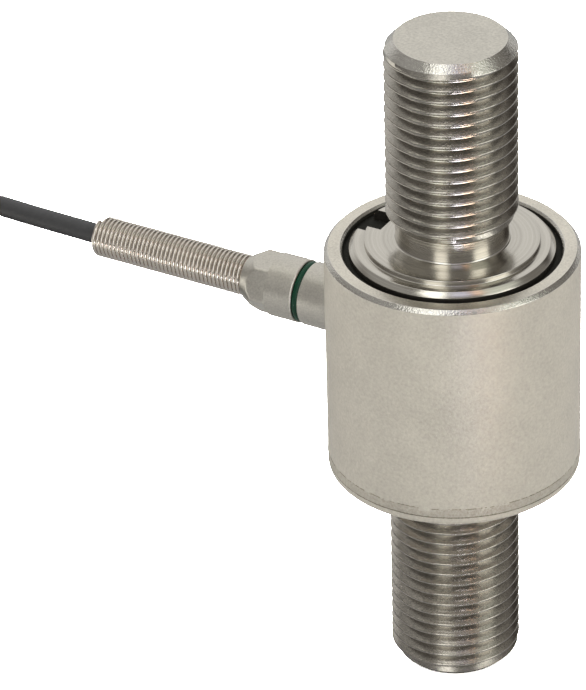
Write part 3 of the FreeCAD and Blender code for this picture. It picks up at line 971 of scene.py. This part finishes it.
# %% Squeeze the seal ring
green_rubber = rubber("green_seal_rubber", (0.002, 0.026, 0.013), 0.35, shine=0.2)
seal_radius = seal_high.y
seal_profile = [
    (-0.5, -0.30), (-0.42, -0.10), (-0.25, -0.02),
    (0.0, 0.0), (0.25, -0.02), (0.42, -0.10), (0.5, -0.30),
]
seal_middle = (boss_face + nut_shoulder) / 2
seal_width = nut_shoulder - boss_face
largest_swell = 0.05
seal_rows = [[(hole_radius, boss_face)] * COLUMNS]
for share, inset in seal_profile:
    row = []
    for column in range(COLUMNS):
        angle = 2 * math.pi * column / COLUMNS
        swell = 0.03 * math.sin(3 * angle + 1) + 0.02 * math.sin(7 * angle) - largest_swell
        row.append((seal_radius + (inset + swell) * MM, seal_middle + share * seal_width))
    seal_rows.append(row)
seal_rows.append([(hole_radius, nut_shoulder)] * COLUMNS)
seal_mesh = bmesh.new()
grid_mesh(seal_mesh, seal_rows, closed=True)
lay_over(seal_mesh)
seal = finish_mesh("seal_ring_squeezed", seal_mesh, [green_rubber])
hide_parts("seal_ring")

# %% [markdown]
# ## The bend protection spring
#
# A close wound spring keeps the cable from kinking at the gland. In the model it is a stack of ridges.
# Here it is wound as the real one is, from forty turns of round wire that all but touch, with both wire
# ends cut off square. The turns' centreline is worked out point by point, and the wire function does
# the rest.

# %% Wind the spring
wire_radius = 0.295 * MM
spring_turns = 40
points_in_turn = 40
coil_radius = spring_radius - wire_radius
first = spring_start + wire_radius
last = spring_end - wire_radius
end_phase = math.radians(80)
spring_path = []
for count in range(spring_turns * points_in_turn + 1):
    turns = count / points_in_turn
    angle = end_phase + 2 * math.pi * turns
    distance = first + (last - first) * turns / spring_turns
    spring_path.append(Vector((
        -distance,
        -coil_radius * math.cos(angle),
        cable_level + coil_radius * math.sin(angle),
    )))
spring_mesh = bmesh.new()
wire_mesh(spring_mesh, spring_path, [wire_radius] * len(spring_path), sides=10)
spring = finish_mesh("bend_spring_wound", spring_mesh, [wire_steel], smooth_angle=60)
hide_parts("bend_spring")

# %% [markdown]
# ## The cable's jacket and its stripped end
#
# The jacket is matt charcoal plastic. Close up it has a fine skin and a few rubbed, slightly paler
# patches. The same material goes on the stretch of cable that the gland clamps.

# %% Dress the cable
jacket = rubber("cable_jacket", (0.022, 0.022, 0.023), 0.5, bump_height=0.02, bump_size=0.5)
cable_curve.materials.append(jacket)
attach(cable, "root")

black_strap = rubber("tie_strap", (0.025, 0.025, 0.026), 0.4, bump_size=0.8)
shrunk_sleeve = rubber("shrunk_sleeve", (0.015, 0.015, 0.016), 0.35, bump_height=0.03, bump_size=1.2)


# %% [markdown]
# A node that keeps its own mesh only needs a material in its slots. The helper below does that for the inner
# parts, which nobody sees in the assembled sensor.

# %% Dress the nodes that stay
dressed = []


def dress(material, *names):
    """Puts one material on CAD nodes that keep their shape."""
    dressed.extend(names)
    for name in names:
        slots = nodes[name].data.materials
        slots.clear()
        slots.append(material)


dress(
    rubber("gap_sealant_black", (0.014, 0.014, 0.012), 0.85, bump_height=0.05, bump_size=0.8, shine=0.08),
    "gap_sealant",
)
dress(jacket, "cable_inner_end")
dress(rubber("grommet_rubber", (0.012, 0.012, 0.012), 0.5), "cable_grommet")
dress(black_strap, "coil_tie")
dress(shrunk_sleeve, "cable_end_sleeve")
dress(rubber("board_laminate", (0.02, 0.12, 0.045), 0.35, bump_size=0.5), "bridge_board")
gauges = [name for name in nodes if name.startswith("strain_gauge")]
dress(rubber("gauge_carrier", (0.5, 0.24, 0.05), 0.3), *gauges)
resistors = [name for name in nodes if name.endswith("resistor")]
dress(rubber("resistor_ceramic", (0.03, 0.03, 0.035), 0.4), *resistors)
dress(steel("brass", (0.78, 0.56, 0.25), 0.3, grooves=0.01, along="X"), "pressure_ring")
dress(steel("tinned_copper", (0.72, 0.68, 0.62), 0.3), "gauge_leads")

# %% Colour the cores
CORE_COLOURS = {
    "red": (0.45, 0.012, 0.01),
    "black": (0.012, 0.012, 0.012),
    "green": (0.01, 0.19, 0.04),
    "white": (0.62, 0.61, 0.58),
}
insulation = {name: rubber(name + "_insulation", colour, 0.35) for name, colour in CORE_COLOURS.items()}
for name, material in insulation.items():
    dress(material, "core_" + name)
insulation["shield"] = steel("shield_braid", (0.70, 0.67, 0.62), 0.35, grain=0.03, grain_size=0.2)
print("dressed nodes:", len(dressed))

# %% [markdown]
# ## The leads
#
# Five leads come out of the stripped end: four insulated cores and the shield, twisted to a wire. Each
# leads straight out of the sleeve, then sinks to the floor and fans out a little, and ends in a tinned
# tip. A wire thins at its tip by one step in the radii.

# %% Fan the leads out
lead_radius = 0.375 * MM
tip_radius = 0.225 * MM
lead_ring_radius = 0.82 * MM
straight_length = 7.75 * MM
lead_length = 17.0 * MM
tip_length = 4.0 * MM
fan_step = 1.4 * MM
path_steps = 12
fan_order = {"red": 2, "black": 0.2, "green": -2.4, "white": -0.8, "shield": 1}
tinned = steel("tinned_tip", (0.74, 0.71, 0.66), 0.28, grain=0.01)

for place, (name, fan) in enumerate(fan_order.items()):
    angle = math.radians(90 - 72 * place)
    begin = tail_end + Vector((0, math.sin(angle), math.cos(angle))) * lead_ring_radius
    spread = fan_step * fan
    handle = begin + Vector((straight_length, 0, 0))
    corner = begin + Vector((lead_length * 0.6, spread * 0.4, (lead_radius - begin.z) / 2))
    end = Vector((begin.x + lead_length, begin.y + spread, lead_radius))
    path = []
    for count in range(path_steps + 1):
        share = count / path_steps
        path.append(
            begin * (1 - share) ** 3
            + handle * 3 * share * (1 - share) ** 2
            + corner * 3 * share ** 2 * (1 - share)
            + end * share ** 3
        )
    ahead = (path[-1] - path[-2]).normalized()
    lead_mesh = bmesh.new()
    wire_mesh(lead_mesh, path, [lead_radius] * len(path), sides=14, material=0)
    wire_mesh(lead_mesh, [end, end + ahead * tip_length], [tip_radius] * 2, sides=12, material=1)
    lead = finish_mesh("lead_" + name + "_wire", lead_mesh, [insulation[name], tinned], smooth_angle=60)
    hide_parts("lead_" + name)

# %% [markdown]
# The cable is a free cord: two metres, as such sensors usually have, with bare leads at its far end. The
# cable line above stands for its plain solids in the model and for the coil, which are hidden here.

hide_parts("cable", "cable_coil", "cable_tail")

# %% [markdown]
# ## The studio
#
# The photograph has no background and no hard shadow: a plain white table, one large soft light at the
# back, and softer ones at the sides. Polished steel is a mirror, so what it shows is the studio. From
# this height each kind of surface looks at its own part of the room:
#
# - upright walls and thread crests look down at the table, each as far to the side as it is turned
# - flat tops look up at the back wall, about 30 degrees above the horizon
# - chamfers that slope towards the camera look up at the front of the room
#
# The room is therefore painted by direction, as panels on a dull ground: a pale back wall, and lamps and
# screens in front and at the sides. Steel shows these panels and not the lights, which glossy rays miss.

# %% Directions in the studio
def direction(right_of_camera, elevation):
    """Unit vector in the studio. Angles are in degrees, and 0 on the round is where the camera stands."""
    around = math.radians(right_of_camera - 90) + camera_azimuth
    up = math.radians(elevation)
    return Vector((math.cos(around) * math.cos(up), math.sin(around) * math.cos(up), math.sin(up)))


def studio_axes(owner, coordinates):
    """X, Y and Z sockets of a texture coordinate, turned so that X points at the camera's side."""
    turned_view = add_node(owner, "ShaderNodeMapping")
    turned_view.inputs["Rotation"].default_value = (0, 0, math.pi / 2 - camera_azimuth)
    link(owner, add_node(owner, "ShaderNodeTexCoord").outputs[coordinates], turned_view.inputs["Vector"])
    parts = add_node(owner, "ShaderNodeSeparateXYZ")
    link(owner, turned_view.outputs[0], parts.inputs[0])
    return parts.outputs


def inside(owner, value, low, high, softness):
    """Socket with 1 between low and high and 0 beyond them, with a soft step of the given width."""
    away = maths(owner, "ABSOLUTE", maths(owner, "SUBTRACT", value, (low + high) / 2))
    reach = (high - low) / 2
    share = add_node(owner, "ShaderNodeMapRange", From_Min=reach + softness, From_Max=reach)
    share.interpolation_type = "SMOOTHSTEP"
    link(owner, away, share.inputs["Value"])
    return share.outputs["Result"]


def paint(owner, under, where, where_too, colour):
    """Paints a colour over another one, where both masks are 1."""
    return mix_colours(owner, maths(owner, "MULTIPLY", where, where_too), under, colour)


# %% [markdown]
# A thread's upper flank looks down too: its ray goes up, meets the flank of the next turn and comes out
# downwards again. So the table matters as much as the room. A photographer lays cards on it, and they are
# what gives each turn its glint. Here the cards are painted reflections: colour painted on the table by angle
# and distance that only glossy rays see. It is brighter than white where the glints fall, over a bare table
# that glossy rays see as dark grey. Camera rays see plain white.

# %% The table
TABLE_DROP = 0.05 * MM
TABLE_RADIUS = 8
floor_mesh = bmesh.new()
bmesh.ops.create_circle(floor_mesh, cap_ends=True, segments=96, radius=TABLE_RADIUS)
floor_data = bpy.data.meshes.new("table_top")
floor_mesh.to_mesh(floor_data)
floor_mesh.free()
table_top = bpy.data.objects.new("table_top", floor_data)
table_top.location.z = -TABLE_DROP
bpy.context.scene.collection.objects.link(table_top)
print("table radius in m:", TABLE_RADIUS)

# %% Paint the cards
TABLE_WHITE = (5.0, 5.0, 5.0)
BARE_TABLE = (0.28, 0.28, 0.28)
paper, paper_shader = new_material("white_table")
paper_shader.inputs["Base Color"].default_value = (0.9, 0.9, 0.9, 1)
paper_shader.inputs["Roughness"].default_value = 0.9
paper_shader.inputs["Specular IOR Level"].default_value = 0.0
table_x, table_y, table_z = studio_axes(paper, "Object")
table_angle = maths(paper, "DEGREES", maths(paper, "ARCTAN2", table_y, table_x))
table_distance = length_of(paper, table_x, table_y)
# Painted reflections on the table, seen only by glossy rays: they make the glints on the threads.
# left, right and softness in degrees, near, far and softness in metres, colour
cards = [
    (-125, -80, 18, 0.130, 0.600, 0.015, (0.75, 0.74, 0.70)),
    (-14, 46, 8, 0.000, 0.050, 0.015, (0.42, 0.42, 0.41)),
    (-36, -14, 4, 0.120, 0.165, 0.005, (1.7, 1.75, 1.6)),
    (5, 18, 3, 0.120, 0.160, 0.005, (6.6, 6.6, 7.6)),
    (22, 37, 3, 0.120, 0.168, 0.005, (6.5, 4.9, 4.0)),
]
painted_card_colour = BARE_TABLE
for left, right, side_softness, near, far, end_softness, colour in cards:
    across = inside(paper, table_angle, left, right, side_softness)
    along = inside(paper, table_distance, near, far, end_softness)
    painted_card_colour = paint(paper, painted_card_colour, across, along, colour)
print("cards on the table:", len(cards))

# %% Show the cards to glossy rays only
rays = add_node(paper, "ShaderNodeLightPath")
paper_output = paper.node_tree.nodes["Material Output"].inputs["Surface"]
surface = paper_shader.outputs[0]
for ray, colour in (("Is Glossy Ray", painted_card_colour), ("Is Camera Ray", TABLE_WHITE)):
    seen_so = add_node(paper, "ShaderNodeBsdfDiffuse")
    if isinstance(colour, tuple):
        seen_so.inputs["Color"].default_value = (*colour, 1)
    else:
        link(paper, colour, seen_so.inputs["Color"])
    paper_mix = add_node(paper, "ShaderNodeMixShader")
    link(paper, rays.outputs[ray], paper_mix.inputs[0])
    link(paper, surface, paper_mix.inputs[1])
    link(paper, seen_so.outputs[0], paper_mix.inputs[2])
    surface = paper_mix.outputs[0]
link(paper, surface, paper_output)
floor_data.materials.append(paper)

# %% [markdown]
# The room has no mesh at all. The world's colour is painted by direction: each panel has its left and
# right edge, its lower and upper edge and the softness of its edges in degrees, and then its colour.

# %% Paint the room
world = bpy.data.worlds.new("studio")
bpy.context.scene.world = world
world.use_nodes = True
world.node_tree.nodes.clear()
room_x, room_y, room_z = studio_axes(world, "Generated")
room_angle = maths(world, "DEGREES", maths(world, "ARCTAN2", room_y, room_x))
from_back = maths(world, "SUBTRACT", 180, maths(world, "ABSOLUTE", room_angle))
height_angle = maths(world, "DEGREES", maths(world, "ARCSINE", room_z))

CEILING = (0.24, 0.225, 0.205)
panels = [
    (room_angle, -180, 180, -90, 8, 16, (0.26, 0.25, 0.24)),
    (from_back, -34, 34, 2, 56, 34, (0.90, 0.89, 0.865)),
    (room_angle, 128, 148, 18, 46, 12, (0.06, 0.05, 0.042)),
    (room_angle, 106, 122, 50, 68, 8, (0.50, 0.48, 0.43)),
    (room_angle, -85, 85, 12, 44, 10, (0.34, 0.33, 0.32)),
    (room_angle, -120, -62, 30, 50, 8, (0.42, 0.41, 0.39)),
    (room_angle, -124, -100, 58, 74, 6, (1.6, 1.6, 1.5)),
    (room_angle, -31, -13, 6, 48, 6, (2.3, 2.3, 2.2)),
    (room_angle, -45, -15, 54, 72, 6, (2.8, 2.8, 2.65)),
    (room_angle, -1, 25, 57, 72, 5, (1.0, 1.0, 1.22)),
    (room_angle, 34, 42, 55, 68, 4, (1.8, 1.2, 0.9)),
    (room_angle, 46, 70, 6, 48, 6, (2.6, 2.6, 2.45)),
    (room_angle, 50, 86, 44, 66, 7, (0.92, 0.95, 0.85)),
]
room_colour = CEILING
for around, left, right, low, high, softness, colour in panels:
    wide = inside(world, around, left, right, softness)
    tall = inside(world, height_angle, low, high, softness)
    room_colour = paint(world, room_colour, wide, tall, colour)
print("panels in the room:", len(panels))

# %% Light the room with its panels
room_light = add_node(world, "ShaderNodeBackground")
link(world, room_colour, room_light.inputs["Color"])
white = add_node(world, "ShaderNodeBackground", Color=(1, 1, 1, 1))
rays = add_node(world, "ShaderNodeLightPath")
seen = add_node(world, "ShaderNodeMixShader")
link(world, rays.outputs["Is Camera Ray"], seen.inputs[0])
link(world, room_light.outputs[0], seen.inputs[1])
link(world, white.outputs[0], seen.inputs[2])
link(world, seen.outputs[0], add_node(world, "ShaderNodeOutputWorld").inputs["Surface"])

# %% [markdown]
# Three large soft lights light everything that isn't a mirror: the blasted housing, the cable and the
# coil. They are large and stand far apart, so their shadows are soft.

# %% Hang the lights
SENSOR_MIDDLE = Vector((0, 0, 0.04))


def soft_light(name, right_of_camera, elevation, distance, size, power):
    """Square area light that looks at the sensor. Sizes are in metres and the power in watts."""
    data = bpy.data.lights.new(name, "AREA")
    data.shape = "SQUARE"
    data.size = size
    data.energy = power
    light = bpy.data.objects.new(name, data)
    bpy.context.scene.collection.objects.link(light)
    towards = direction(right_of_camera, elevation)
    light.location = towards * distance + SENSOR_MIDDLE
    light.rotation_euler = (-towards).to_track_quat("-Z", "Y").to_euler()
    light.visible_camera = False
    light.visible_glossy = False
    print(name, "in watts:", power)


soft_light("back_light", 180, 55, 1.2, 0.9, 10)
soft_light("left_light", -75, 55, 1.0, 0.6, 5.2)
soft_light("right_light", 70, 55, 1.0, 0.6, 5)
